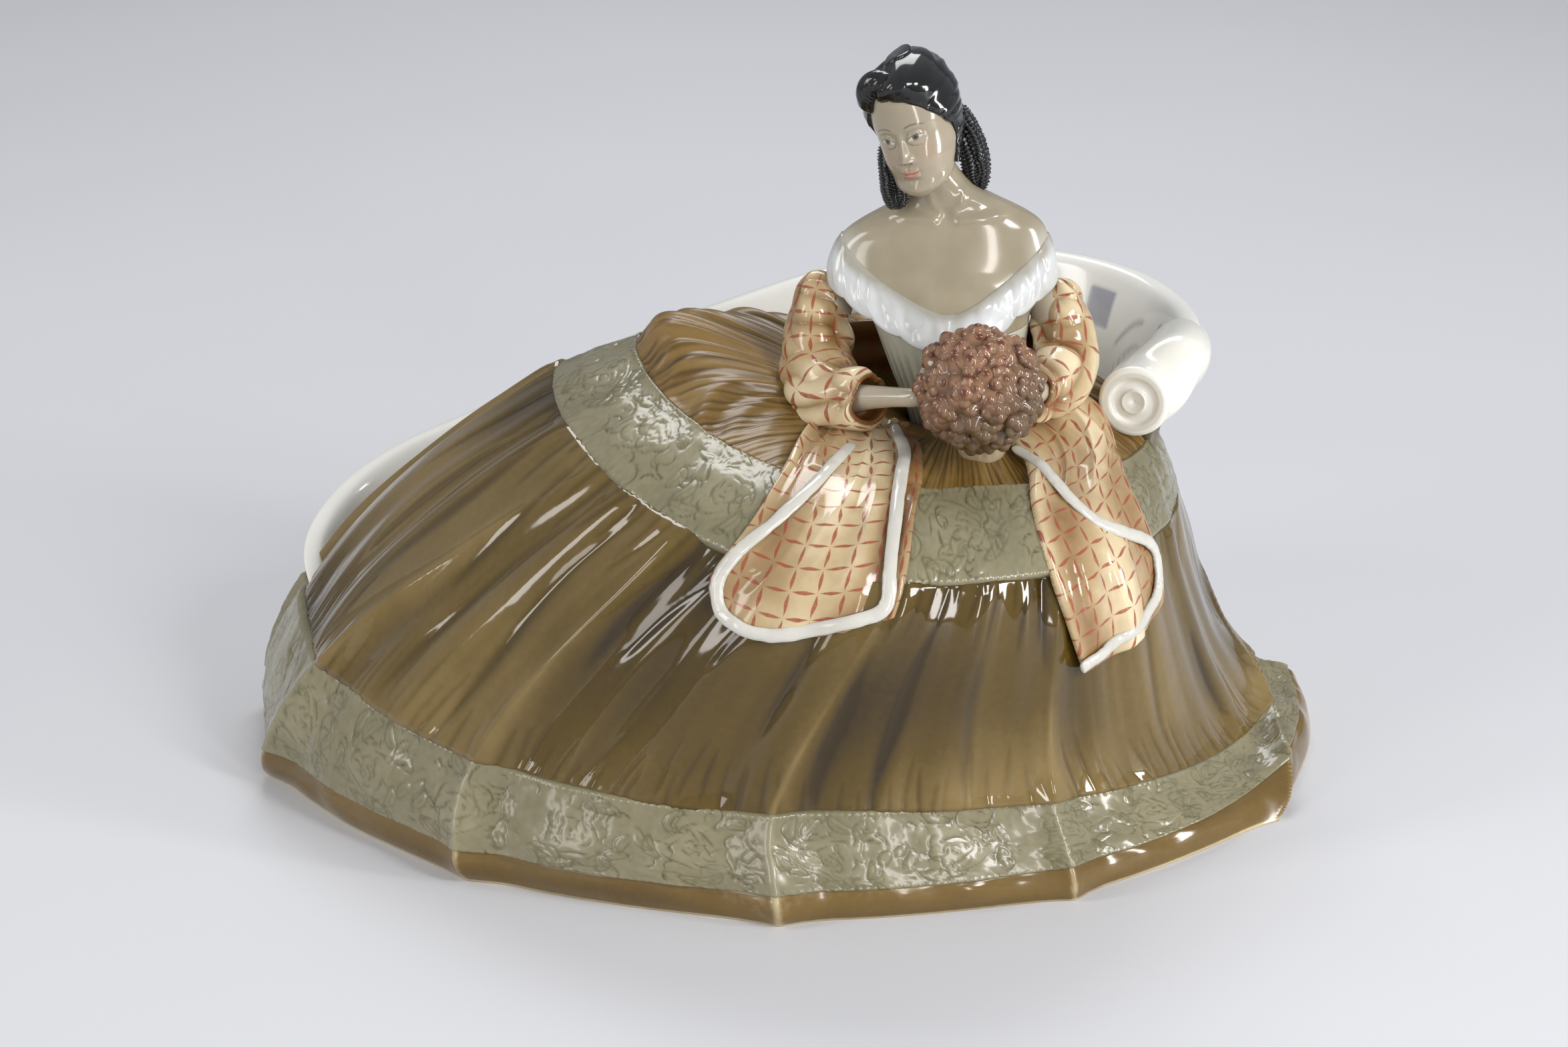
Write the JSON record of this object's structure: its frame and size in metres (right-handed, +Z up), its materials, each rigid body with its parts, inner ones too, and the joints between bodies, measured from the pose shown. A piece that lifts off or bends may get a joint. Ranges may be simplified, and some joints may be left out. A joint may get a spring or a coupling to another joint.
{
  "type": "porcelain lady figurine",
  "caption": "Seated lady in a wide hooped skirt on a scroll-armed sofa, holding a round bouquet; a glazed ornament that stands on its open foot rim.",
  "frame": {"origin": "centre of the footprint's bounding box, on the surface the figurine stands on", "axes": "+X to the viewer's right along the sofa, +Y to the back, +Z up; the lady faces -Y"},
  "size_m": [0.3734, 0.2406, 0.2524],
  "materials": {
    "olive": "olive-brown gloss glaze",
    "white": "clear gloss over white body",
    "skin": "clear gloss over cream flesh tint",
    "bodice": "pale grey-green gloss glaze",
    "collar": "bluish-white gloss glaze",
    "hair": "black gloss glaze",
    "shawl": "yellow ochre gloss with painted brown grid",
    "blossom": "mottled red-brown and mauve gloss",
    "holder": "warm grey gloss glaze"
  },
  "bodies": {
    "root": {"arm_left": "skin", "arm_right": "skin", "blossom_01": "blossom", "blossom_02": "blossom", "blossom_03": "blossom", "blossom_04": "blossom", "blossom_05": "blossom", "blossom_06": "blossom", "blossom_07": "blossom", "blossom_08": "blossom", "blossom_09": "blossom", "blossom_10": "blossom", "blossom_11": "blossom", "blossom_12": "blossom", "blossom_13": "blossom", "blossom_14": "blossom", "blossom_15": "blossom", "blossom_16": "blossom", "blossom_17": "blossom", "blossom_18": "blossom", "blossom_19": "blossom", "blossom_20": "blossom", "blossom_21": "blossom", "blossom_22": "blossom", "blossom_23": "blossom", "bodice": "bodice", "bouquet_ball": "blossom", "bouquet_holder": "holder", "bust": "skin", "collar": "collar", "hair": "hair", "hair_front_roll": "hair", "head": "skin", "ringlets_left": "hair", "ringlets_right": "hair", "shawl_back": "shawl", "shawl_left_end": "shawl", "shawl_left_sleeve": "shawl", "shawl_right_end": "shawl", "shawl_right_sleeve": "shawl", "skirt": "olive", "sofa_arm_scroll": "white", "sofa_back": "white", "sofa_seat": "white"}
  },
  "joints": []
}
